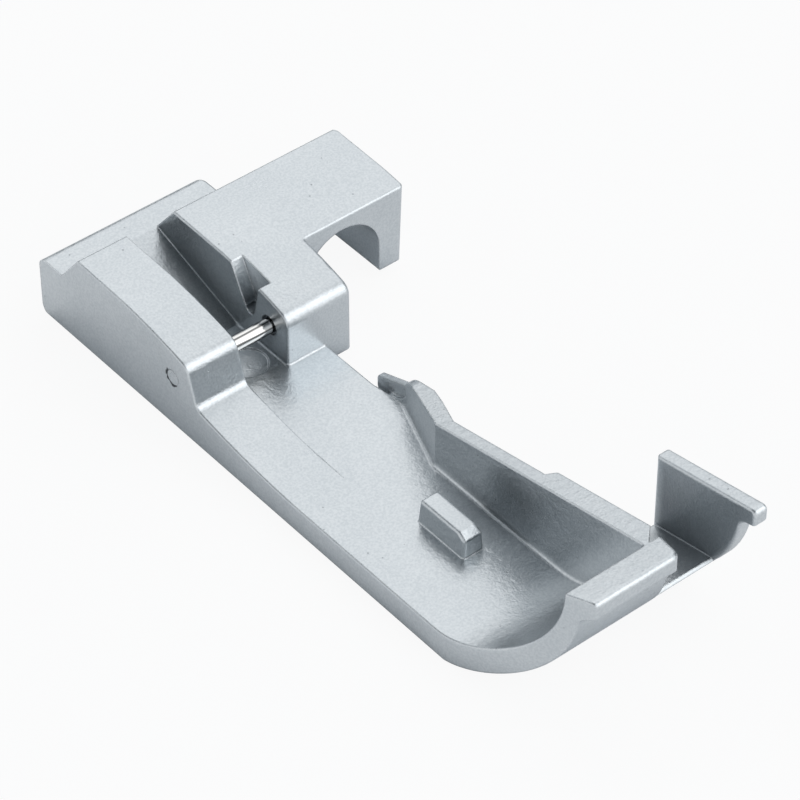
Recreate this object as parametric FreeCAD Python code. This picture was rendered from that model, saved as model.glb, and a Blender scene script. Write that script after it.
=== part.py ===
import FreeCAD, Part
import math
import os

os.makedirs("parts", exist_ok=True)

V = FreeCAD.Vector

# Presser foot for an overlock machine: one casting with a cross pin pressed through it.
# Sizes are in millimetres. x runs to the sewer's right, y to the rear, z up from the sole.
# The origin is on the sole, straight below the cross pin.

# Widths, as x positions.
foot_left_x = -9.1
ear_inner_x = -3.55
block_left_x = 1.65
block_right_x = 8.95
plate_right_x = 5.9
plate_tab_x = 6.5
arm_right_x = 20.15
arm_draft_deg = 2.2

# Rear ledge and the crown of the ear, the block and the arm, as y and z.
rear_y = 20.0
rear_foot_radius = 1.3
rear_top_radius = 1.0
ledge_z = 6.75
ledge_corner_radius = 1.5
step_foot_y = 16.5
crown_rear_y = 13.8
crown_rear_z = 10.2
crown_bend_y = 7.0
crown_bend_z = 10.0
crown_mid_y = 2.9
crown_mid_z = 9.55
block_front_y = -2.65
block_nose_z = 8.3
block_corner_radius = 0.55
block_foot_radius = 0.25
block_edge_radius = 0.2
ear_nose_y = -2.1
ear_nose_z = 8.55
ear_foot_y = -3.35
ear_foot_z = 4.5
ear_ramp_mid_y = -8.0
ear_ramp_mid_z = 3.71
ear_ramp_end_y = -17.0
nose_radius = 1.3
ear_foot_radius = 1.1

# Arm with its leg and arch, and the overhang of the block.
arm_front_y = 3.9
arm_rear_y = 14.1
arm_corner_radius = 0.8
arm_front_radius = 0.5
arm_edge_radius = 0.25
ear_edge_radius = 0.15
arch_radius = 4.3
arch_center_z = 4.0
underside_z = 1.05

# Plate, slot floor and sole.
plate_z = 3.0
slot_ramp_end_y = 4.6
sole_edge_radius = 0.4
sole_edge_end_y = -40.0
plate_edge_radius = 0.15
spot_radius = 1.95
spot_depth = 0.12

# Cross pin, its bores and the relief in the block.
pin_radius = 0.75
pin_z = 6.0
pin_press_clearance = 0.01
pin_blind_depth = 3.5
bore_mouth_radius = 1.02
bore_mouth_depth = 0.35
notch_depth = 1.35
notch_top_rear_y = 5.6
notch_top_front_y = 1.25
notch_low_rear_y = 3.5
notch_low_front_y = 2.1
notch_low_z = 6.1
relief_radius = 0.6
relief_depth = 1.6

# Upturned toe.
toe_rear_y = -30.0
floor_sweep_start_y = -36.5
floor_sweep_radius = 10.7
sweep_lead = 0.5
toe_skin = 2.0
beak_root_drop = 1.2
beak_overhang = 1.607
beak_lift = 1.0
toe_turn_y = -33.5
tongue_rear_y = -47.4
lip_edge_radius = 0.45
beak_blend_radius = 1.1
beak_low_radius = 0.45
tongue_left_x = -5.2
tongue_front_x = -4.5
lip_slant_x = 4.65
lip_slant_start_y = -45.5
lip_corner_radius = 1.1

# Guide wall, whose top climbs towards the toe.
top_rise = 0.212
wall_inner_x = 3.4
wall_thin = 1.38
wall_thick = 2.25
wall_facet_y = -20.9
wall_rear_y = -13.2
wall_rear_x = 6.35
wall_rear_outer_x = 6.75
wall_bend_x = 6.62
wall_bend_y = -17.0
wall_waist_x = 5.98
wall_waist_y = -18.8
wall_join_y = -21.6
wall_step_y = -33.6
wall_step_run = 0.6
wall_step_radius = 0.5
wall_top_rear_radius = 2.3
wall_edge_radius = 0.3
wall_top_edge_radius = 0.2
wall_brow_radius = 0.12
wall_foot_radius = 0.35

# Channel floor and the upright fin at the right.
bay_front_y = -38.7
web_rear_z = 3.6
web_rise = 0.2
web_tip_z = 4.708
web_bevel = 0.3
fin_inner_x = 12.9
fin_thickness = 1.5
fin_rear_y = -38.4
fin_rear_z = 11.4
fin_front_z = 13.72
fin_low_z = 11.9
fin_low_radius = 0.5
fin_nose_radius = 0.5
fin_rear_radius = 0.35
fin_edge_radius = 0.3

# Lug on the floor.
lug_left_x = -2.1
lug_right_x = 0.25
lug_rear_y = -25.0
lug_front_y = -31.15
lug_z = 5.5
lug_draft = 0.2
lug_bevel = 0.9
lug_edge_radius = 0.3

# Stitch prong at the rear end of the wall.
prong_left_x = 6.6
prong_width = 0.62
prong_tip_y = -9.03
prong_tip_z = 3.55
prong_root_z = 5.25
prong_edge_radius = 0.2
gusset_front_y = -11.2
gusset_z = 5.0
prong_low_z = 1.6


def face_yz(edges, x=0.0):
    """A flat face from edges given as pairs or triples of (y, z)."""
    made = []
    for e in edges:
        pts = [V(x, p[0], p[1]) for p in e]
        if len(pts) == 2:
            made.append(Part.LineSegment(pts[0], pts[1]).toShape())
        else:
            made.append(Part.Arc(pts[0], pts[1], pts[2]).toShape())
    return Part.Face(Part.Wire(made))


def prism_x(edges, x0, x1):
    """A solid drawn out from x0 to x1."""
    return face_yz(edges, x0).extrude(V(x1 - x0, 0, 0))


def chain(points):
    """Straight edges round a closed list of points."""
    n = len(points)
    return [(points[i], points[(i + 1) % n]) for i in range(n)]


def prism_z(points, z0, z1):
    """An upright solid on a closed plan outline."""
    ring = [V(p[0], p[1], z0) for p in points]
    ring.append(ring[0])
    return Part.Face(Part.makePolygon(ring)).extrude(V(0, 0, z1 - z0))


def box(x0, x1, y0, y1, z0, z1):
    return Part.makeBox(x1 - x0, y1 - y0, z1 - z0, V(x0, y0, z0))


def edges_where(shape, test):
    """Edges whose middle point and direction pass the test."""
    found = []
    for e in shape.Edges:
        a = e.valueAt(e.FirstParameter)
        b = e.valueAt(e.LastParameter)
        mid = e.valueAt((e.FirstParameter + e.LastParameter) / 2)
        run = b.sub(a)
        if run.Length > 1e-6 and test(mid, run.normalize()):
            found.append(e)
    return found


def rounded(shape, radius, test):
    picked = edges_where(shape, test)
    return shape.makeFillet(radius, picked)


def near(value, target, tol=0.02):
    return abs(value - target) < tol


def across(y, z):
    """Test for an edge that runs from left to right at (y, z)."""
    return lambda m, d: abs(d.x) > 0.9 and near(m.y, y) and near(m.z, z)


def upright(x, y):
    """Test for an upright edge at (x, y)."""
    return lambda m, d: abs(d.z) > 0.9 and near(m.x, x) and near(m.y, y)


def eased(shape, radius, test):
    """Small rounding of the edges whose ends and middle all pass the test."""
    picked = []
    for e in shape.Edges:
        first = e.FirstParameter
        half = (e.LastParameter - first) / 2
        if all(test(e.valueAt(first + half * i)) for i in range(3)):
            picked.append(e)
    return shape.makeFillet(radius, picked)


# The sole's sweep runs outside the floor's, and the beak hangs from its end.
lip_rear_y = floor_sweep_start_y - floor_sweep_radius
sweep_start_y = floor_sweep_start_y + sweep_lead
sweep_radius = floor_sweep_radius + toe_skin
beak_root_z = sweep_radius - beak_root_drop
beak_low_z = beak_root_z + beak_lift


def on_wall_foot(m):
    """True on the inner foot of the guide wall."""
    if m.x > wall_inner_x + 1.5:
        return False
    if m.y < wall_facet_y:
        return near(m.x, wall_inner_x)
    run = (m.y - wall_facet_y) / (wall_rear_y - wall_facet_y)
    return near(m.x, wall_inner_x + run * (wall_rear_x - wall_inner_x), 0.05)


def sweep_point(angle_deg):
    """A point on the curved underside of the toe, by its slope."""
    a = math.radians(angle_deg)
    y = sweep_start_y - sweep_radius * math.sin(a)
    return (y, sweep_radius - sweep_radius * math.cos(a))


def top_z(y):
    """Height of the climbing top of wall and lip."""
    return plate_z + floor_sweep_radius + top_rise * (lip_rear_y - y)


# Middle points of the rounded rear corners.
bulge = 1.0 - math.sqrt(0.5)
corner_low = (rear_y - rear_foot_radius * bulge, rear_foot_radius * bulge)
corner_high = (rear_y - rear_top_radius * bulge, ledge_z - rear_top_radius * bulge)


# Crown line shared by the ear, the block and the arm.
def crown_edges(nose_y, nose_z):
    return [
        ((rear_y - rear_foot_radius, 0.0), corner_low, (rear_y, rear_foot_radius)),
        ((rear_y, rear_foot_radius), (rear_y, ledge_z - rear_top_radius)),
        ((rear_y, ledge_z - rear_top_radius), corner_high, (rear_y - rear_top_radius, ledge_z)),
        ((rear_y - rear_top_radius, ledge_z), (step_foot_y, ledge_z)),
        ((step_foot_y, ledge_z), (crown_rear_y, crown_rear_z)),
        ((crown_rear_y, crown_rear_z), (crown_bend_y, crown_bend_z)),
        ((crown_bend_y, crown_bend_z), (crown_mid_y, crown_mid_z), (nose_y, nose_z)),
    ]


ear_profile = crown_edges(ear_nose_y, ear_nose_z) + [
    ((ear_nose_y, ear_nose_z), (ear_foot_y, ear_foot_z)),
    ((ear_foot_y, ear_foot_z), (ear_ramp_mid_y, ear_ramp_mid_z), (ear_ramp_end_y, plate_z)),
    ((ear_ramp_end_y, plate_z), (ear_ramp_end_y, 0.0)),
    ((ear_ramp_end_y, 0.0), (rear_y - rear_foot_radius, 0.0)),
]
ear = prism_x(ear_profile, foot_left_x, ear_inner_x)
ear = rounded(ear, nose_radius, across(ear_nose_y, ear_nose_z))
ear = rounded(ear, ear_foot_radius, across(ear_foot_y, ear_foot_z))

block_profile = crown_edges(block_front_y, block_nose_z) + [
    ((block_front_y, block_nose_z), (block_front_y, 0.0)),
    ((block_front_y, 0.0), (rear_y - rear_foot_radius, 0.0)),
]
block_plan = prism_z(
    [
        (block_left_x, block_front_y - 1),
        (block_left_x, rear_y + 1),
        (block_right_x, rear_y + 1),
        (block_right_x, arm_rear_y),
        (arm_right_x + 2, arm_rear_y),
        (arm_right_x + 2, arm_front_y),
        (block_right_x, arm_front_y),
        (block_right_x, block_front_y - 1),
    ],
    -1,
    crown_rear_z + 1,
)
block = prism_x(block_profile, block_left_x - 1, arm_right_x + 2)
block = rounded(block, nose_radius, across(block_front_y, block_nose_z))
block = block.common(block_plan)

# The arm leans out a little at its right end, stops above the sole and has an arch under it.
lean = math.tan(math.radians(arm_draft_deg)) * (crown_rear_z - underside_z)
draft_cut = Part.makePolygon([
    V(arm_right_x - 0.2 * lean, arm_front_y - 1, underside_z - 0.2 * (crown_rear_z - underside_z)),
    V(arm_right_x + 1.2 * lean, arm_front_y - 1, crown_rear_z + 0.2 * (crown_rear_z - underside_z)),
    V(arm_right_x + 4, arm_front_y - 1, crown_rear_z + 0.2 * (crown_rear_z - underside_z)),
    V(arm_right_x + 4, arm_front_y - 1, underside_z - 0.2 * (crown_rear_z - underside_z)),
    V(arm_right_x - 0.2 * lean, arm_front_y - 1, underside_z - 0.2 * (crown_rear_z - underside_z)),
])
draft_cut = Part.Face(draft_cut).extrude(V(0, arm_rear_y - arm_front_y + 2, 0))
arch_x = block_right_x + arch_radius
arch_depth = arm_rear_y - arm_front_y + 2
arch = Part.makeCylinder(arch_radius, arch_depth, V(arch_x, arm_front_y - 1, arch_center_z), V(0, 1, 0))
arch_right_x = block_right_x + 2 * arch_radius
arch = arch.fuse(box(block_right_x, arch_right_x, arm_front_y - 1, arm_rear_y + 1, -1, arch_center_z))
below = box(plate_right_x, arm_right_x + 3, block_front_y - 1, rear_y + 1, -1, underside_z)
block = block.cut([draft_cut, arch, below])
block = rounded(block, block_corner_radius, upright(block_right_x, block_front_y))
block = rounded(
    block,
    arm_corner_radius,
    lambda m, d: abs(d.z) > 0.9 and m.x > arm_right_x - 0.1 and near(m.y, arm_rear_y),
)
block = rounded(
    block,
    arm_front_radius,
    lambda m, d: abs(d.z) > 0.9 and m.x > arm_right_x - 0.1 and near(m.y, arm_front_y),
)
block = eased(
    block,
    block_edge_radius,
    lambda p: near(p.x, block_left_x) and p.y < crown_rear_y + 0.01 and (p.z > 8 or near(p.y, block_front_y)),
)
corner_x = block_right_x - ledge_corner_radius
corner_y = rear_y - ledge_corner_radius
corner = box(corner_x, block_right_x + 1, corner_y, rear_y + 1, -1, ledge_z + 1)
corner = corner.cut(Part.makeCylinder(ledge_corner_radius, ledge_z + 4, V(corner_x, corner_y, -2)))
block = block.cut(corner)

slot_profile = crown_edges(block_front_y, block_nose_z)[:4] + [
    ((step_foot_y, ledge_z), (slot_ramp_end_y, plate_z)),
    ((slot_ramp_end_y, plate_z), (block_front_y, plate_z)),
    ((block_front_y, plate_z), (block_front_y, 0.0)),
    ((block_front_y, 0.0), (rear_y - rear_foot_radius, 0.0)),
]
slot_floor = prism_x(slot_profile, ear_inner_x, block_left_x)

# Plate and the shoulder at its right edge.
plate_outline = [
    (foot_left_x, rear_y - rear_foot_radius - 0.5),
    (plate_right_x, rear_y - rear_foot_radius - 0.5),
    (plate_right_x, -9.3),
    (plate_tab_x, wall_rear_y + 0.3),
    (plate_tab_x, wall_rear_y - 1.2),
    (wall_inner_x + wall_thin, wall_facet_y),
    (wall_inner_x + wall_thin, toe_rear_y - 1),
    (foot_left_x, toe_rear_y - 1),
]
plate = prism_z(plate_outline, 0.0, plate_z)

# Toe: floor and sole both sweep up to the lip.
a45 = math.radians(45)
floor_mid = (
    floor_sweep_start_y - floor_sweep_radius * math.sin(a45),
    plate_z + floor_sweep_radius - floor_sweep_radius * math.cos(a45),
)
beak_angle = math.degrees(math.acos(beak_root_drop / sweep_radius))
beak_root = sweep_point(beak_angle)
beak_y = beak_root[0] - beak_overhang
toe_profile = [
    ((toe_rear_y, 0.0), (sweep_start_y, 0.0)),
    ((sweep_start_y, 0.0), sweep_point(beak_angle / 2), beak_root),
    (beak_root, (beak_y, beak_low_z)),
    ((beak_y, beak_low_z), (beak_y, top_z(beak_y))),
    ((beak_y, top_z(beak_y)), (lip_rear_y, top_z(lip_rear_y))),
    ((lip_rear_y, top_z(lip_rear_y)), floor_mid, (floor_sweep_start_y, plate_z)),
    ((floor_sweep_start_y, plate_z), (toe_rear_y, plate_z)),
    ((toe_rear_y, plate_z), (toe_rear_y, 0.0)),
]
wall_outer_x = wall_inner_x + wall_thick
toe = prism_x(toe_profile, foot_left_x - 1, wall_outer_x)
toe = rounded(toe, beak_blend_radius, across(beak_root[0], beak_root[1]))
toe = rounded(toe, beak_low_radius, across(beak_y, beak_low_z))
# Left edge of the toe in plan, as shares of the way from its turn to the tongue.
toe_curve = [
    (0, 0),
    (0.0333, 0.2518),
    (0.1718, 0.4065),
    (0.5333, 0.6763),
    (0.7128, 0.7986),
    (0.8718, 0.9065),
    (1, 1),
]
outline = Part.BSplineCurve()
outline.interpolate(
    [
        V(foot_left_x + a * (tongue_left_x - foot_left_x), toe_turn_y + b * (tongue_rear_y - toe_turn_y), -1)
        for a, b in toe_curve
    ],
    InitialTangent=V(0, -1, 0),
    FinalTangent=V(0.35, -1, 0),
)
plan = [
    outline.toShape(),
    Part.LineSegment(V(tongue_left_x, tongue_rear_y, -1), V(tongue_front_x, beak_y, -1)).toShape(),
    Part.LineSegment(V(tongue_front_x, beak_y, -1), V(lip_slant_x, beak_y, -1)).toShape(),
    Part.LineSegment(V(lip_slant_x, beak_y, -1), V(wall_outer_x, lip_slant_start_y, -1)).toShape(),
    Part.LineSegment(V(wall_outer_x, lip_slant_start_y, -1), V(wall_outer_x, toe_rear_y, -1)).toShape(),
    Part.LineSegment(V(wall_outer_x, toe_rear_y, -1), V(foot_left_x, toe_rear_y, -1)).toShape(),
    Part.LineSegment(V(foot_left_x, toe_rear_y, -1), V(foot_left_x, toe_turn_y, -1)).toShape(),
]
toe_plan = Part.Face(Part.Wire(plan)).extrude(V(0, 0, 20))
toe_plan = rounded(toe_plan, lip_corner_radius, upright(lip_slant_x, beak_y))
toe = toe.common(toe_plan)
toe = eased(toe, lip_edge_radius, lambda p: near(p.y, beak_y) and near(p.z, top_z(beak_y)))

# Guide wall: thin behind, thick in front, its rear end turned to the right.
wall_outline = [
    (wall_inner_x, lip_rear_y - 0.5),
    (wall_inner_x, wall_facet_y),
    (wall_rear_x, wall_rear_y),
    (wall_rear_outer_x, wall_rear_y - 0.15),
    (wall_bend_x, wall_bend_y),
    (wall_waist_x, wall_waist_y),
    (wall_inner_x + wall_thin, wall_join_y),
    (wall_inner_x + wall_thin, wall_step_y),
    (wall_outer_x, wall_step_y - wall_step_run),
    (wall_outer_x, lip_slant_start_y),
]
wall = prism_z(wall_outline, 0.0, 20.0)
wall = rounded(wall, wall_edge_radius, upright(wall_rear_x, wall_rear_y))
wall = rounded(wall, wall_step_radius, upright(wall_outer_x, wall_step_y - wall_step_run))
under_top = prism_x(
    chain([(wall_rear_y, -5), (-60, -5), (-60, top_z(-60)), (wall_rear_y, top_z(wall_rear_y))]), -20, 20
)
under_top = rounded(under_top, wall_top_rear_radius, across(wall_rear_y, top_z(wall_rear_y)))
wall = wall.common(under_top)
wall = eased(
    wall,
    wall_top_edge_radius,
    lambda p: abs(p.z - top_z(p.y)) < 0.01 and p.x > wall_inner_x + 0.5 and p.y < wall_facet_y,
)
sole_side = prism_x(
    [
        ((0.0, 0.0), (sweep_start_y, 0.0)),
        ((sweep_start_y, 0.0), sweep_point(beak_angle / 2), beak_root),
        (beak_root, (beak_y, beak_low_z)),
        ((beak_y, beak_low_z), (beak_y, 20.0)),
        ((beak_y, 20.0), (0.0, 20.0)),
        ((0.0, 20.0), (0.0, 0.0)),
    ],
    -20,
    20,
)
wall = wall.common(sole_side)


# Channel floor between the wall and the fin, cut off by the curved sole.
def web_z(y):
    return web_rear_z + web_rise * (bay_front_y - y)


def sweep_angle(y):
    """Slope of the curved underside at a given y."""
    return math.degrees(math.asin((sweep_start_y - y) / sweep_radius))


start_angle = sweep_angle(bay_front_y)
tip_angle = math.degrees(math.acos(1 - web_tip_z / sweep_radius))
web_tip = sweep_point(tip_angle)
web_front_y = web_tip[0]
web_brow = (web_front_y + web_bevel, web_z(web_front_y + web_bevel))
web_profile = [
    (sweep_point(start_angle), sweep_point((start_angle + tip_angle) / 2), web_tip),
    (web_tip, web_brow),
    (web_brow, (bay_front_y, web_rear_z)),
    ((bay_front_y, web_rear_z), sweep_point(start_angle)),
]
web = prism_x(web_profile, wall_inner_x + 0.5, fin_inner_x + 0.5)

fin_angle = sweep_angle(fin_rear_y)
fin_profile = [
    (sweep_point(fin_angle), sweep_point((fin_angle + beak_angle) / 2), beak_root),
    (beak_root, (beak_y, fin_low_z)),
    ((beak_y, fin_low_z), (beak_y, fin_front_z)),
    ((beak_y, fin_front_z), (fin_rear_y, fin_rear_z)),
    ((fin_rear_y, fin_rear_z), sweep_point(fin_angle)),
]
fin = prism_x(fin_profile, fin_inner_x, fin_inner_x + fin_thickness)
fin = rounded(fin, beak_blend_radius, across(beak_root[0], beak_root[1]))
fin = rounded(fin, fin_low_radius, across(beak_y, fin_low_z))
fin = rounded(fin, fin_nose_radius, across(beak_y, fin_front_z))
fin_outer_x = fin_inner_x + fin_thickness
fin = rounded(
    fin,
    fin_edge_radius,
    lambda m, d: (near(m.x, fin_inner_x) or near(m.x, fin_outer_x)) and not near(m.y, fin_rear_y),
)
fin_plan = box(fin_inner_x, fin_outer_x, beak_y, fin_rear_y, -1, 20)
fin_plan = rounded(fin_plan, fin_rear_radius, lambda m, d: abs(d.z) > 0.9 and near(m.y, fin_rear_y))
fin = fin.common(fin_plan)

# Lug, tapered a little, bevelled at its front.
lug_low = [
    V(lug_left_x, lug_rear_y, plate_z - 0.5),
    V(lug_right_x, lug_rear_y, plate_z - 0.5),
    V(lug_right_x, lug_front_y, plate_z - 0.5),
    V(lug_left_x, lug_front_y, plate_z - 0.5),
]
lug_high = [
    V(lug_left_x + lug_draft, lug_rear_y - lug_draft, lug_z),
    V(lug_right_x - lug_draft, lug_rear_y - lug_draft, lug_z),
    V(lug_right_x - lug_draft, lug_front_y + 0.05, lug_z),
    V(lug_left_x + lug_draft, lug_front_y + 0.05, lug_z),
]
lug_low_ring = Part.makePolygon(lug_low + [lug_low[0]])
lug_high_ring = Part.makePolygon(lug_high + [lug_high[0]])
lug = Part.makeLoft([lug_low_ring, lug_high_ring], True)
bevel_profile = [
    (lug_front_y + lug_bevel, lug_z),
    (lug_front_y - 1, lug_z),
    (lug_front_y - 1, lug_z - lug_bevel * 1.4),
]
bevel_cut = prism_x(chain(bevel_profile), lug_left_x - 1, lug_right_x + 1)
lug = lug.cut(bevel_cut)
lug = rounded(lug, lug_edge_radius, lambda m, d: m.z > plate_z - 0.4)

# Stitch prong that points to the rear.
prong_profile = chain([
    (wall_rear_y - 1.0, prong_low_z),
    (wall_rear_y - 1.0, prong_root_z + 0.25),
    (prong_tip_y, prong_tip_z),
    (prong_tip_y, prong_low_z),
])
prong = prism_x(prong_profile, prong_left_x, prong_left_x + prong_width)
prong = rounded(prong, 0.9, lambda m, d: abs(d.x) > 0.9 and near(m.y, prong_tip_y) and m.z < 2.5)
prong = rounded(prong, 0.6, across(prong_tip_y, prong_tip_z))
prong = eased(
    prong,
    prong_edge_radius,
    lambda p: near(p.x, prong_left_x) and p.z > prong_low_z + 0.05 and p.y > wall_rear_y - 0.99,
)

# Hollow ramp that carries the floor up to the root of the prong.
gusset_rear_y = wall_rear_y - 0.5
gusset_mid = (
    gusset_front_y + (gusset_rear_y - gusset_front_y) * 0.68,
    plate_z + (gusset_z - plate_z) * 0.32,
)
gusset = prism_x(
    [
        ((gusset_front_y, plate_z), gusset_mid, (gusset_rear_y, gusset_z)),
        ((gusset_rear_y, gusset_z), (gusset_rear_y, prong_low_z)),
        ((gusset_rear_y, prong_low_z), (gusset_front_y, prong_low_z)),
        ((gusset_front_y, prong_low_z), (gusset_front_y, plate_z)),
    ],
    wall_rear_x - 0.15,
    prong_left_x + 0.1,
)

casting = ear.fuse([block, slot_floor, plate, toe, wall, web, fin, lug, prong, gusset])
casting = casting.removeSplitter()
sole_edge_x = foot_left_x + sole_edge_radius
sole_edge = box(foot_left_x - 1, sole_edge_x, sole_edge_end_y, rear_y + 1, -1, sole_edge_radius)
sole_round_start = V(sole_edge_x, sole_edge_end_y - 2, sole_edge_radius)
sole_round = Part.makeCylinder(sole_edge_radius, rear_y - sole_edge_end_y + 4, sole_round_start, V(0, 1, 0))
casting = casting.cut(sole_edge.cut(sole_round))
casting = rounded(
    casting,
    wall_foot_radius,
    lambda m, d: abs(d.y) > 0.8 and near(m.z, plate_z) and m.y > sweep_start_y and on_wall_foot(m),
)

# Eased top edges of the arm, then of the ear beside the slot.
arm_end_x = arm_right_x - arm_front_radius + 0.05
casting = eased(
    casting,
    arm_edge_radius,
    lambda p: p.z > 9 and (near(p.y, arm_front_y) or p.x > arm_end_x) and p.y < crown_rear_y + 0.1,
)
casting = eased(
    casting,
    ear_edge_radius,
    lambda p: near(p.x, ear_inner_x) and p.z > plate_z + 0.05 and ear_foot_y < p.y < step_foot_y - 0.1,
)

# Small blend at the front foot of the block.
casting = eased(
    casting,
    block_foot_radius,
    lambda p: near(p.y, block_front_y) and near(p.z, plate_z) and p.x > block_left_x - 0.01,
)

# Eased inner top edge of the guide wall and left top edge of the plate.
casting = eased(
    casting,
    wall_brow_radius,
    lambda p: abs(p.z - top_z(p.y)) < 0.01 and near(p.x, wall_inner_x, 0.3) and p.y < wall_facet_y + 0.1,
)
casting = eased(
    casting,
    plate_edge_radius,
    lambda p: near(p.x, foot_left_x) and near(p.z, plate_z) and p.y < ear_ramp_end_y + 0.1,
)

# Bores, relief notch and the round spot in the slot floor.
bore_radius = pin_radius + pin_press_clearance
bore_end_x = block_left_x + pin_blind_depth
bore = Part.makeCylinder(bore_radius, bore_end_x - foot_left_x + 1, V(foot_left_x - 1, 0, pin_z), V(1, 0, 0))
mouth_start = V(block_left_x - 0.5, 0, pin_z)
mouth = Part.makeCylinder(bore_mouth_radius, bore_mouth_depth + 0.5, mouth_start, V(1, 0, 0))
notch = prism_x(
    chain([
        (notch_top_rear_y, crown_rear_z),
        (notch_top_front_y, crown_rear_z),
        (notch_low_front_y, notch_low_z),
        (notch_low_rear_y, notch_low_z),
    ]),
    block_left_x - 0.5,
    block_left_x + notch_depth,
)
relief_y = (notch_low_rear_y + notch_low_front_y) / 2
relief = Part.makeCylinder(
    relief_radius, relief_depth, V(block_left_x - 0.5, relief_y, notch_low_z), V(1, 0, 0)
)
spot_x = (ear_inner_x + block_left_x) / 2
spot = Part.makeCylinder(spot_radius, 2.0, V(spot_x, 0, plate_z - spot_depth))
casting = casting.cut([bore, mouth, notch, relief, spot])

pin = Part.makeCylinder(pin_radius, bore_end_x - 0.1 - foot_left_x, V(foot_left_x, 0, pin_z), V(1, 0, 0))
pin = pin.makeChamfer(0.12, pin.Edges[0:1] if len(pin.Edges) else [])

nodes = {"foot_casting": casting, "snap_pin": pin}
for name, shape in nodes.items():
    solids = shape.Solids
    print(name, len(solids), shape.isValid(), round(shape.Volume, 2), shape.BoundBox)
    solids[0].exportStep("parts/" + name + ".step")
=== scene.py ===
import math

import bpy
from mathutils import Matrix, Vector


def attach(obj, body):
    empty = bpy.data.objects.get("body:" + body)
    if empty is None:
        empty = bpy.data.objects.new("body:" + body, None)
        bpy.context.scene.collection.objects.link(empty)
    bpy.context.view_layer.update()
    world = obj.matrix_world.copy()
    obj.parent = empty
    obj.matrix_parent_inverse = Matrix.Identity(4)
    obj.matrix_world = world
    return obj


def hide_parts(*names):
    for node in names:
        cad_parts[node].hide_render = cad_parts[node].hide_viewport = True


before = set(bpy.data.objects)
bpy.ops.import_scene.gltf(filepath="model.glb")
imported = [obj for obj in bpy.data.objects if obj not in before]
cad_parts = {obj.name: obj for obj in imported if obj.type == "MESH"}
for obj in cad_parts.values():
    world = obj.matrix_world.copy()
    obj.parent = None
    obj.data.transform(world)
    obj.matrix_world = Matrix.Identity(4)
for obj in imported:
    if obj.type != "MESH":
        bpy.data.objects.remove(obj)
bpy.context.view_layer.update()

MM = 0.001

# ---------------------------------------------------------------- camera
CAMERA_PLACE = (-0.154, -0.20641, 0.23775)
CAMERA_TILT = 47.0
CAMERA_TURN = -39.6
LENS_MM = 175.5
SENSOR_MM = 36.0
NEAREST_SEEN = 0.01
FARTHEST_SEEN = 20.0


def make_camera():
    data = bpy.data.cameras.new("camera")
    data.lens = LENS_MM
    data.sensor_width = SENSOR_MM
    data.clip_start = NEAREST_SEEN
    data.clip_end = FARTHEST_SEEN
    data.dof.use_dof = False
    camera = bpy.data.objects.new("camera", data)
    camera.location = CAMERA_PLACE
    camera.rotation_euler = (math.radians(CAMERA_TILT), 0.0, math.radians(CAMERA_TURN))
    bpy.context.scene.collection.objects.link(camera)
    bpy.context.scene.camera = camera


# ---------------------------------------------------------------- node helpers
class Net:
    """Short calls to place and join shader nodes in one tree."""

    def __init__(self, tree):
        self.tree = tree

    def feed(self, value, socket):
        """Links an output to the socket, or writes a plain value into it."""
        if isinstance(value, bpy.types.NodeSocket):
            self.tree.links.new(value, socket)
        else:
            socket.default_value = value

    def put(self, kind, **values):
        node = self.tree.nodes.new(kind)
        inputs = values.pop("inputs", {})
        for name, value in values.items():
            setattr(node, name, value)
        for name, value in inputs.items():
            self.feed(value, node.inputs[name])
        return node

    def math(self, operation, a, b=0.0, clamp=False):
        node = self.put("ShaderNodeMath", operation=operation, use_clamp=clamp)
        self.feed(a, node.inputs[0])
        self.feed(b, node.inputs[1])
        return node.outputs[0]

    def measure(self, operation, a, b=None):
        """A vector sum whose answer is one number, such as a length."""
        node = self.put("ShaderNodeVectorMath", operation=operation)
        self.feed(a, node.inputs[0])
        if b is not None:
            self.feed(b, node.inputs[1])
        return node.outputs["Value"]

    def split(self, place):
        node = self.put("ShaderNodeSeparateXYZ", inputs={"Vector": place})
        return node.outputs["X"], node.outputs["Y"], node.outputs["Z"]

    def fade(self, value, low, high, to_low=0.0, to_high=1.0):
        """Goes smoothly from one level to the other between two values."""
        ends = {"Value": value, "From Min": low, "From Max": high, "To Min": to_low, "To Max": to_high}
        node = self.put("ShaderNodeMapRange", interpolation_type="SMOOTHSTEP", inputs=ends)
        return node.outputs["Result"]

    def noise(self, place, size_mm, detail=2.0):
        scale = 1.0 / (size_mm * MM)
        inputs = {"Vector": place, "Scale": scale, "Detail": detail}
        return self.put("ShaderNodeTexNoise", inputs=inputs).outputs["Fac"]

    def wobble(self, place, size_mm, reach):
        """Noise about zero, to make an outline ragged."""
        noise = self.noise(place, size_mm, 1.0)
        return self.math("MULTIPLY", self.math("SUBTRACT", noise, 0.5), reach)

    def blend(self, share, a, b):
        node = self.put("ShaderNodeMix", data_type="RGBA")
        sockets = [s for s in node.inputs if s.type == "RGBA"]
        self.feed(share, node.inputs["Factor"])
        self.feed(a, sockets[0])
        self.feed(b, sockets[1])
        return [s for s in node.outputs if s.type == "RGBA"][0]


def new_group(name, inputs, outputs):
    tree = bpy.data.node_groups.new(name, "ShaderNodeTree")
    for label, kind, value in inputs:
        socket = tree.interface.new_socket(label, in_out="INPUT", socket_type=kind)
        if value is not None:
            socket.default_value = value
    for label, kind in outputs:
        tree.interface.new_socket(label, in_out="OUTPUT", socket_type=kind)
    return tree, tree.nodes.new("NodeGroupInput"), tree.nodes.new("NodeGroupOutput")


EDGE_SAMPLES = 6
EDGE_FLAT = 0.995
EDGE_SHARP = 0.90


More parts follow.
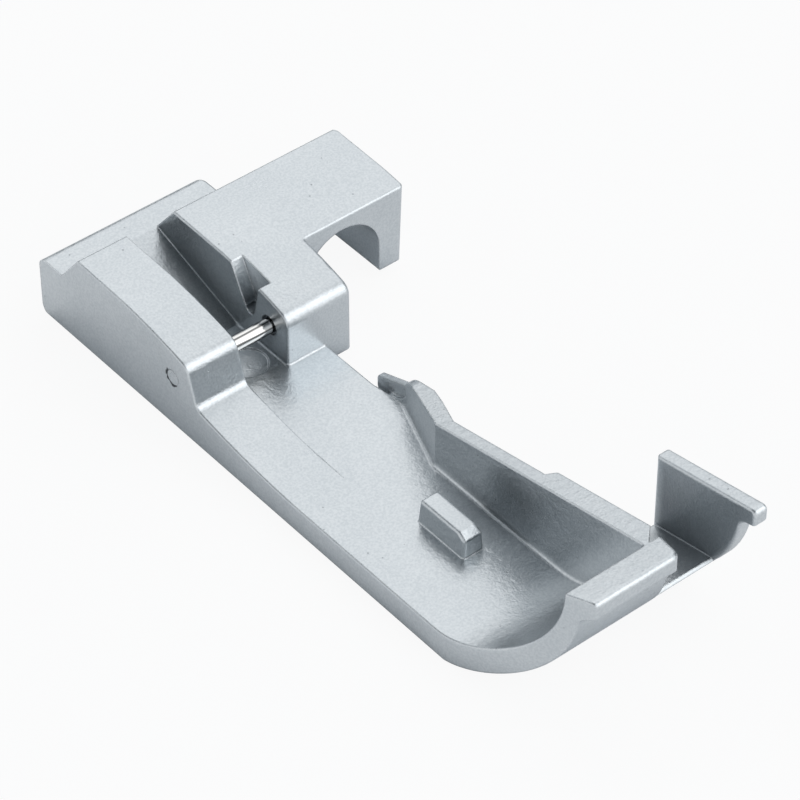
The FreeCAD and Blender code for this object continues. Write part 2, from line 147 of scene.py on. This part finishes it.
def soft_edge_group():
    """Rounds sharp edges in the shading and gives a mask along them."""
    tree, entry, leave = new_group(
        "soft edge",
        [("Radius", "NodeSocketFloat", 0.0002)],
        [("Normal", "NodeSocketVector"), ("Edge", "NodeSocketFloat")],
    )
    net = Net(tree)
    bevel = net.put("ShaderNodeBevel", samples=EDGE_SAMPLES, inputs={"Radius": entry.outputs["Radius"]})
    face = net.put("ShaderNodeNewGeometry")
    likeness = net.measure("DOT_PRODUCT", bevel.outputs["Normal"], face.outputs["Normal"])
    net.feed(bevel.outputs["Normal"], leave.inputs["Normal"])
    net.feed(net.fade(likeness, EDGE_FLAT, EDGE_SHARP), leave.inputs["Edge"])
    return tree


CLOUD_MM = 7.0
CLOUD_DETAIL = 3.0
PIT_SPACING_MM = 1.15
PIT_RARITY = (0.74, 0.76)
PIT_RIM = (0.10, 0.05)
GRAIN_DEPTH = 1.1
RIPPLE_DEPTH = 1.7
PIT_DEPTH = 1.2
MIDDLE_TONES = (0.3, 0.7)


def grain_group():
    """Fine blasted grain with soft ripples under it and a few small pits."""
    tree, entry, leave = new_group(
        "metal grain",
        [
            ("Place", "NodeSocketVector", None),
            ("Grain mm", "NodeSocketFloat", 0.11),
            ("Ripple mm", "NodeSocketFloat", 0.9),
            ("Pit share", "NodeSocketFloat", 0.5),
        ],
        [
            ("Height", "NodeSocketFloat"),
            ("Cloud", "NodeSocketFloat"),
            ("Pit", "NodeSocketFloat"),
            ("Fleck", "NodeSocketFloat"),
        ],
    )
    net = Net(tree)
    place = entry.outputs["Place"]

    def noise(label):
        scale = net.math("DIVIDE", 1.0 / MM, entry.outputs[label])
        inputs = {"Vector": place, "Scale": scale, "Detail": 2.0}
        return net.put("ShaderNodeTexNoise", inputs=inputs).outputs["Fac"]

    grain = noise("Grain mm")
    ripple = noise("Ripple mm")
    dot_inputs = {"Vector": place, "Scale": 1.0 / (PIT_SPACING_MM * MM), "Randomness": 1.0}
    dots = net.put("ShaderNodeTexVoronoi", feature="F1", inputs=dot_inputs)
    rare = net.fade(dots.outputs["Color"], *PIT_RARITY)
    spot = net.fade(dots.outputs["Distance"], *PIT_RIM)
    pit = net.math("MULTIPLY", net.math("MULTIPLY", rare, spot), entry.outputs["Pit share"])
    height = net.math(
        "ADD",
        net.math("MULTIPLY", grain, GRAIN_DEPTH),
        net.math("MULTIPLY", ripple, RIPPLE_DEPTH),
    )
    height = net.math("SUBTRACT", height, net.math("MULTIPLY", pit, PIT_DEPTH))
    net.feed(height, leave.inputs["Height"])
    net.feed(net.noise(place, CLOUD_MM, CLOUD_DETAIL), leave.inputs["Cloud"])
    net.feed(pit, leave.inputs["Pit"])
    net.feed(net.fade(grain, *MIDDLE_TONES), leave.inputs["Fleck"])
    return tree


SKY_SAMPLES = 8
CLOSED_SKY = 0.20


def cavity_group():
    """Mask that is 1 deep in recesses, where little light finds its way out."""
    tree, entry, leave = new_group(
        "cavity",
        [("Reach", "NodeSocketFloat", 0.006), ("Open", "NodeSocketFloat", 0.58)],
        [("Depth", "NodeSocketFloat")],
    )
    net = Net(tree)
    inputs = {"Distance": entry.outputs["Reach"]}
    sky = net.put("ShaderNodeAmbientOcclusion", samples=SKY_SAMPLES, inputs=inputs)
    depth = net.fade(sky.outputs["AO"], entry.outputs["Open"], CLOSED_SKY)
    net.feed(depth, leave.inputs["Depth"])
    return tree


def new_material(name):
    material = bpy.data.materials.new(name)
    material.use_nodes = True
    material.node_tree.nodes.clear()
    net = Net(material.node_tree)
    net.end = net.put("ShaderNodeOutputMaterial")
    return material, net


def use_group(net, tree, **inputs):
    node = net.put("ShaderNodeGroup", node_tree=tree)
    for name, value in inputs.items():
        net.feed(value, node.inputs[name.replace("_", " ")])
    return node


# ---------------------------------------------------------------- metals
# Places on the part that the finishes need, as in the CAD.
PIN_HEIGHT = 6.0 * MM
EAR_FACE = -9.1 * MM
SPOT_CENTRE = (-0.95 * MM, 0.0, 2.88 * MM)
SPOT_RADIUS = 1.95 * MM
BAY_LEFT = 5.6 * MM
BAY_REAR = -38.2 * MM

# Colours of the plate, with a painted shade grey for its recesses; the edge colour is partly a painted
# highlight.
PLATE_DIM = (0.55, 0.585, 0.61, 1.0)
PLATE_BRIGHT = (0.67, 0.70, 0.72, 1.0)
PIT_GREY = (0.30, 0.32, 0.34, 1.0)
EDGE_BRIGHT = (0.86, 0.88, 0.90, 1.0)
PAINTED_SHADE_GREY = (0.15, 0.165, 0.18, 1.0)
PIN_END_BLACK = (0.03, 0.034, 0.04, 1.0)

# How strongly each effect shows on the plate, the painted shade and painted highlight among them.
CLOUD_SHARE = 0.3
FLECK_SHARE = 0.7
EDGE_SHARE = 0.4
RECESS_SHADE_SHARE = 0.8
BAY_SHADE_SHARE = 0.9
SPOT_SHARE = 0.9
PIN_END_SHARE = 0.95
PLATE_ROUGHNESS = 0.25
CLOUD_ROUGHNESS = 0.08
EDGE_POLISH = 0.13
PLATE_BUMP = 0.02 * MM


def bay_mask(net, x, y, cavity_tree):
    """The deep bay between the guide wall and the fin, which sees little light."""
    inside = net.math(
        "MULTIPLY",
        net.fade(x, BAY_LEFT, BAY_LEFT + 0.3 * MM),
        net.fade(y, BAY_REAR, BAY_REAR - 1.5 * MM),
    )
    cavity = use_group(net, cavity_tree, Reach=14.0 * MM, Open=0.86)
    return net.math("MULTIPLY", inside, cavity.outputs["Depth"])


def spot_mask(net, place):
    """The round tool mark in the slot's floor, where the painted shade is lifted so that it stays
    brighter than the slot.
    """
    away = net.measure("DISTANCE", place, SPOT_CENTRE)
    return net.fade(away, SPOT_RADIUS + 0.02 * MM, SPOT_RADIUS - 0.10 * MM)


def pin_end_mask(net, place, x, y, z):
    """Ragged dark line round the rear and lower side of the pin's end on the ear."""
    up = net.math("SUBTRACT", z, PIN_HEIGHT)
    across = net.put("ShaderNodeCombineXYZ", inputs={"X": y, "Y": up})
    radius = net.measure("LENGTH", across.outputs["Vector"])
    radius = net.math("ADD", radius, net.wobble(place, 0.4, 0.9 * MM))
    ring = net.fade(radius, 1.06 * MM, 0.94 * MM)
    on_face = net.fade(x, EAR_FACE + 0.06 * MM, EAR_FACE + 0.03 * MM)
    low_rear = net.fade(net.math("SUBTRACT", y, up), -0.1 * MM, 0.25 * MM)
    return net.math("MULTIPLY", net.math("MULTIPLY", ring, on_face), low_rear)


def plated_casting(edge_tree, grain_tree, cavity_tree):
    """Satin nickel plate over a fine casting, with painted shade in its recesses and edges lightened
    partly as wear, partly as a painted highlight.
    """
    material, net = new_material("plated_casting")
    place = net.put("ShaderNodeTexCoord").outputs["Object"]
    x, y, z = net.split(place)
    edge = use_group(net, edge_tree, Radius=0.25 * MM)
    grain = use_group(net, grain_tree, Place=place, Grain_mm=0.22, Ripple_mm=0.8, Pit_share=0.6)
    cavity = use_group(net, cavity_tree, Reach=6.0 * MM, Open=0.58)

    cloud = net.fade(grain.outputs["Cloud"], *MIDDLE_TONES)
    tone = net.math(
        "ADD",
        net.math("MULTIPLY", cloud, CLOUD_SHARE),
        net.math("MULTIPLY", grain.outputs["Fleck"], FLECK_SHARE),
    )
    colour = net.blend(tone, PLATE_DIM, PLATE_BRIGHT)
    colour = net.blend(grain.outputs["Pit"], colour, PIT_GREY)
    # Edges lighter: partly rubbed plate, partly a painted highlight along them.
    worn_and_highlight = net.math("MULTIPLY", edge.outputs["Edge"], EDGE_SHARE)
    colour = net.blend(worn_and_highlight, colour, EDGE_BRIGHT)

    # Painted shade: recesses and the deep bay turn dark grey, less so on the tool mark.
    shade = net.math(
        "MAXIMUM",
        net.math("MULTIPLY", cavity.outputs["Depth"], RECESS_SHADE_SHARE),
        net.math("MULTIPLY", bay_mask(net, x, y, cavity_tree), BAY_SHADE_SHARE),
    )
    spot = net.math("MULTIPLY", spot_mask(net, place), SPOT_SHARE)
    shade = net.math("MULTIPLY", shade, net.math("SUBTRACT", 1.0, spot))
    colour = net.blend(shade, colour, PAINTED_SHADE_GREY)
    # A ragged dark line round the rear and lower side of the pin's end.
    pin_end_dark = net.math("MULTIPLY", pin_end_mask(net, place, x, y, z), PIN_END_SHARE)
    colour = net.blend(pin_end_dark, colour, PIN_END_BLACK)

    dull = net.math("MULTIPLY", grain.outputs["Cloud"], CLOUD_ROUGHNESS)
    rough = net.math("ADD", PLATE_ROUGHNESS, dull)
    rough = net.math("SUBTRACT", rough, net.math("MULTIPLY", edge.outputs["Edge"], EDGE_POLISH))
    bump = net.put(
        "ShaderNodeBump",
        inputs={
            "Strength": 1.0,
            "Distance": PLATE_BUMP,
            "Height": grain.outputs["Height"],
            "Normal": edge.outputs["Normal"],
        },
    )
    metal = net.put(
        "ShaderNodeBsdfPrincipled",
        inputs={
            "Base Color": colour,
            "Metallic": 1.0,
            "Roughness": rough,
            "Normal": bump.outputs["Normal"],
        },
    )
    net.feed(metal.outputs["BSDF"], net.end.inputs["Surface"])
    return material


# Painted reflection along the pin: dark bands of the room painted on the steel, each given as middle and
# half width in degrees, from the front upwards.
REFLECTION_BANDS = (
    (74.0, 11.0),
    (24.0, 11.0),
    (-22.0, 8.0),
    (118.0, 9.0),
    (200.0, 8.0),
    (-70.0, 8.0),
)
BAND_CORE = 0.35
BAND_SHARE = 0.85
BAND_DARK = (0.10, 0.10, 0.10, 1.0)
STEEL_DIM = (0.80, 0.79, 0.77, 1.0)
STEEL_BRIGHT = (0.88, 0.87, 0.85, 1.0)
STEEL_TONES = (0.35, 0.7)
STEEL_ROUGHNESS = 0.07
LINE_ROUGHNESS = 0.08
END_ROUGHNESS = 0.17
ALONG_PIN = (0.12, 1.0, 1.0)


def painted_reflection_bands(net, colour, stretched, y, z):
    """Painted reflection: dark bands that run along the pin and wander a little."""
    up = net.math("SUBTRACT", z, PIN_HEIGHT)
    turn = net.math("ARCTAN2", up, net.math("MULTIPLY", y, -1.0))
    turn = net.math("ADD", turn, net.wobble(stretched, 0.5, 0.25))
    for middle, half in REFLECTION_BANDS:
        off = net.math("ABSOLUTE", net.math("SUBTRACT", turn, math.radians(middle)))
        line = net.fade(off, math.radians(half), math.radians(half * BAND_CORE))
        colour = net.blend(net.math("MULTIPLY", line, BAND_SHARE), colour, BAND_DARK)
    return colour


def polished_pin(edge_tree):
    """Bright drawn steel with painted reflection bands along it, and its end on the ear plated over."""
    material, net = new_material("polished_pin")
    place = net.put("ShaderNodeTexCoord").outputs["Object"]
    x, y, z = net.split(place)
    mapping = net.put("ShaderNodeMapping", inputs={"Vector": place, "Scale": ALONG_PIN})
    stretched = mapping.outputs["Vector"]
    lines = net.noise(stretched, 0.05, 1.0)
    edge = use_group(net, edge_tree, Radius=0.08 * MM)

    colour = net.blend(net.fade(lines, *STEEL_TONES), STEEL_DIM, STEEL_BRIGHT)
    # Painted reflection: dark bands of the room along the pin.
    colour = painted_reflection_bands(net, colour, stretched, y, z)
    plated = net.fade(x, EAR_FACE + 0.2 * MM, EAR_FACE + 0.15 * MM)
    fleck = net.fade(net.noise(place, 0.25), *MIDDLE_TONES)
    colour = net.blend(plated, colour, net.blend(fleck, PLATE_DIM, PLATE_BRIGHT))

    rough = net.math("ADD", STEEL_ROUGHNESS, net.math("MULTIPLY", lines, LINE_ROUGHNESS))
    rough = net.math("ADD", rough, net.math("MULTIPLY", plated, END_ROUGHNESS))
    bump = net.put(
        "ShaderNodeBump",
        inputs={
            "Strength": 0.12,
            "Distance": 0.01 * MM,
            "Height": lines,
            "Normal": edge.outputs["Normal"],
        },
    )
    metal = net.put(
        "ShaderNodeBsdfPrincipled",
        inputs={
            "Base Color": colour,
            "Metallic": 1.0,
            "Roughness": rough,
            "Normal": bump.outputs["Normal"],
        },
    )
    net.feed(metal.outputs["BSDF"], net.end.inputs["Surface"])
    return material


# ---------------------------------------------------------------- dressed casting
# The solid keeps a small lump where the ear's front ramp runs out on the plate.
# The dressed casting is the same skin with that lump taken off and the ramp's tail in its place.
# Sizes here are in millimetres. A pair is (x, y), but for the ramp's it is (y, z).
RAMP_END = (-17.0, 3.0)
RAMP_AXIS = (-18.5269, 79.7522)
RAMP_RADIUS = 76.7674
CREASE_X = -3.55
CREASE_RADIUS = 0.15
CREASE_STEPS = 8
LUMP_START = (-3.7, -13.49)
LUMP_END = (-7.061, -17.0)
LUMP_MIDDLE = (-7.061, -13.489)
LUMP_REACH = 3.6
LUMP_SLACK = 0.02
PLATE_SLACK = 0.0005
TAIL_ROWS = 28
TAIL_COLUMNS = 14


def ramp_height(y):
    """Height of the ear's front ramp, which is a long arc."""
    return RAMP_AXIS[1] - math.sqrt(RAMP_RADIUS**2 - (y - RAMP_AXIS[0]) ** 2)


def lump_line(y):
    """x of the lump's edge on the ramp."""
    share = (y - LUMP_START[1]) / (LUMP_END[1] - LUMP_START[1])
    return LUMP_START[0] + share * (LUMP_END[0] - LUMP_START[0])


def on_lump(point):
    x, y, z = [value / MM for value in point]
    if y < LUMP_END[1] or y > LUMP_START[1] + LUMP_SLACK or x > CREASE_X:
        return False
    inside = math.hypot(x - LUMP_MIDDLE[0], y - LUMP_MIDDLE[1]) < LUMP_REACH
    return inside and x > lump_line(y) and z > RAMP_END[1] + PLATE_SLACK


def ramp_tail():
    """Rows of points over the ramp's tail, rounded down to the plate at the crease."""
    rows = []
    bend = CREASE_X - CREASE_RADIUS
    for i in range(TAIL_ROWS + 1):
        y = LUMP_START[1] + i / TAIL_ROWS * (RAMP_END[0] - LUMP_START[1])
        left = lump_line(y)
        places = [left + (bend - left) * k / TAIL_COLUMNS for k in range(TAIL_COLUMNS + 1)]
        row = [(x, y, ramp_height(y)) for x in places]
        for k in range(1, CREASE_STEPS + 1):
            turn = math.radians(90 * k / CREASE_STEPS)
            drop = CREASE_RADIUS * (1 - math.cos(turn))
            row.append((bend + CREASE_RADIUS * math.sin(turn), y, ramp_height(y) - drop))
        rows.append([(x * MM, y * MM, z * MM) for x, y, z in row])
    return rows


def dressed_casting(material):
    """The casting's skin with its own corner normals, and the ramp's tail in place of the lump."""
    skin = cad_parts["foot_casting"].data
    places, faces, normals, order = [], [], [], {}
    for face in skin.polygons:
        if on_lump(face.center):
            continue
        corners = []
        for index in face.vertices:
            if index not in order:
                order[index] = len(places)
                places.append(tuple(skin.vertices[index].co))
            corners.append(order[index])
        faces.append(corners)
        for loop in face.loop_indices:
            normals.append(tuple(skin.corner_normals[loop].vector))

    rows = ramp_tail()
    start = len(places)
    wide = len(rows[0])
    for row in rows:
        places.extend(row)
    for i in range(len(rows) - 1):
        for k in range(wide - 1):
            first = start + i * wide + k
            faces.append([first, first + wide, first + wide + 1, first + 1])
            normals.extend([(0.0, 0.0, 0.0)] * 4)

    mesh = bpy.data.meshes.new("foot_casting_dressed")
    mesh.from_pydata(places, [], faces)
    for face in mesh.polygons:
        face.use_smooth = True
    mesh.normals_split_custom_set(normals)
    mesh.materials.append(material)
    piece = bpy.data.objects.new("foot_casting_dressed", mesh)
    bpy.context.scene.collection.objects.link(piece)
    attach(piece, "root")
    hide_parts("foot_casting")


# ---------------------------------------------------------------- studio
WHITE = (1.0, 1.0, 1.0, 1.0)
FLOOR_HALF = 0.8
FLOOR_DROP = 0.00002
FLOOR_GREY = (0.76, 0.79, 0.82, 1.0)
NEAR_WHITE = 0.43
FAR_WHITE = 1.0
NEAR_REACH = 0.03
FAR_REACH = 0.20
SEEN_WHITE = 0.92
SHADE_REACH = 0.02
SHADE_TONES = (0.35, 0.95)


def make_floor():
    """Pale floor that reads white to the camera and keeps a faint shadow."""
    mesh = bpy.data.meshes.new("floor")
    corners = [(-1, -1), (1, -1), (1, 1), (-1, 1)]
    places = [(x * FLOOR_HALF, y * FLOOR_HALF, -FLOOR_DROP) for x, y in corners]
    mesh.from_pydata(places, [], [(0, 1, 2, 3)])
    floor = bpy.data.objects.new("floor", mesh)
    bpy.context.scene.collection.objects.link(floor)

    material, net = new_material("floor")
    path = net.put("ShaderNodeLightPath")
    seen = net.math("ADD", path.outputs["Is Camera Ray"], path.outputs["Is Transmission Ray"], clamp=True)
    place = net.put("ShaderNodeTexCoord").outputs["Object"]
    # Painted shade: the glow that metal sees of the floor is dimmer near the part and where the part
    # closes it in.
    level = net.fade(net.measure("LENGTH", place), NEAR_REACH, FAR_REACH, NEAR_WHITE, FAR_WHITE)
    sky = net.put("ShaderNodeAmbientOcclusion", samples=SKY_SAMPLES, inputs={"Distance": SHADE_REACH})
    level = net.math("MULTIPLY", level, net.fade(sky.outputs["AO"], *SHADE_TONES))
    share = net.math("MULTIPLY", path.outputs["Is Glossy Ray"], level)
    share = net.math("ADD", net.math("MULTIPLY", seen, SEEN_WHITE), share, clamp=True)
    matt = net.put("ShaderNodeBsdfDiffuse", inputs={"Color": FLOOR_GREY})
    glow = net.put("ShaderNodeEmission", inputs={"Color": WHITE, "Strength": 1.0})
    mix = net.put("ShaderNodeMixShader", inputs={"Fac": share})
    net.feed(matt.outputs["BSDF"], mix.inputs[1])
    net.feed(glow.outputs["Emission"], mix.inputs[2])
    net.feed(mix.outputs["Shader"], net.end.inputs["Surface"])
    mesh.materials.append(material)


PART_MIDDLE = (0.003, -0.016, 0.005)
SOFT_BOX_WAY = (0.47, -0.62, 0.62)
SOFT_BOX_AWAY = 0.7
SOFT_BOX_WIDTH = 0.30
SOFT_BOX_HEIGHT = 0.22
SOFT_BOX_WATTS = 0.1


def make_front_soft_box():
    """A soft box in front and to the right, which faces the part."""
    data = bpy.data.lights.new("front soft box", "AREA")
    data.shape = "RECTANGLE"
    data.size = SOFT_BOX_WIDTH
    data.size_y = SOFT_BOX_HEIGHT
    data.energy = SOFT_BOX_WATTS
    way = Vector(SOFT_BOX_WAY).normalized()
    light = bpy.data.objects.new("front soft box", data)
    light.location = Vector(PART_MIDDLE) + way * SOFT_BOX_AWAY
    light.rotation_euler = way.to_track_quat("Z", "Y").to_euler()
    bpy.context.scene.collection.objects.link(light)


# The room's bright and dim zones: the way to each, then where it fades in and its two levels.
OVERHEAD_WAY = (0.466, 0.42, 0.64)
OVERHEAD_FADE = (0.68, 0.95, 0.03, 1.16)
FRONT_WAY = (0.466, -0.62, 0.56)
FRONT_FADE = (0.62, 0.94, 0.0, 1.55)
LEFT_WAY = (-0.5, -0.35, 0.0)
LEFT_FADE = (-0.62, -0.20, 0.12, 1.0)
HORIZON_FADE = (0.90, 0.45, 0.0, 0.9)
TINT_TONES = (0.1, 0.9)
DIM_TINT = (0.76, 0.89, 1.0, 1.0)
BRIGHT_TINT = (0.975, 0.99, 1.0, 1.0)


def make_world():
    """Soft room: bright overhead and in front, pale low down, dim low down at the rear right."""
    world = bpy.data.worlds.new("room")
    world.use_nodes = True
    world.node_tree.nodes.clear()
    bpy.context.scene.world = world
    net = Net(world.node_tree)
    way = net.put("ShaderNodeTexCoord").outputs["Generated"]

    def along(direction):
        return net.measure("DOT_PRODUCT", way, Vector(direction).normalized())

    overhead = net.fade(along(OVERHEAD_WAY), *OVERHEAD_FADE)
    front = net.fade(along(FRONT_WAY), *FRONT_FADE)
    height = net.split(way)[2]
    horizon = net.fade(height, *HORIZON_FADE)
    horizon = net.math("MULTIPLY", horizon, net.fade(along(LEFT_WAY), *LEFT_FADE))
    level = net.math("MAXIMUM", net.math("MAXIMUM", overhead, front), horizon)
    colour = net.blend(net.fade(level, *TINT_TONES), DIM_TINT, BRIGHT_TINT)
    path = net.put("ShaderNodeLightPath")
    sky = net.put("ShaderNodeBackground", inputs={"Color": colour, "Strength": level})
    white = net.put("ShaderNodeBackground", inputs={"Color": WHITE, "Strength": 1.0})
    seen = net.math("ADD", path.outputs["Is Camera Ray"], path.outputs["Is Transmission Ray"], clamp=True)
    mix = net.put("ShaderNodeMixShader", inputs={"Fac": seen})
    net.feed(sky.outputs["Background"], mix.inputs[1])
    net.feed(white.outputs["Background"], mix.inputs[2])
    end = net.put("ShaderNodeOutputWorld")
    net.feed(mix.outputs["Shader"], end.inputs["Surface"])


make_camera()
edge_tree = soft_edge_group()
finishes = {
    "foot_casting": plated_casting(edge_tree, grain_group(), cavity_group()),
    "snap_pin": polished_pin(edge_tree),
}
for name, material in finishes.items():
    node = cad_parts[name]
    node.data.materials.clear()
    node.data.materials.append(material)
dressed_casting(finishes["foot_casting"])
make_floor()
make_world()
make_front_soft_box()
bpy.context.scene.view_settings.view_transform = "Standard"
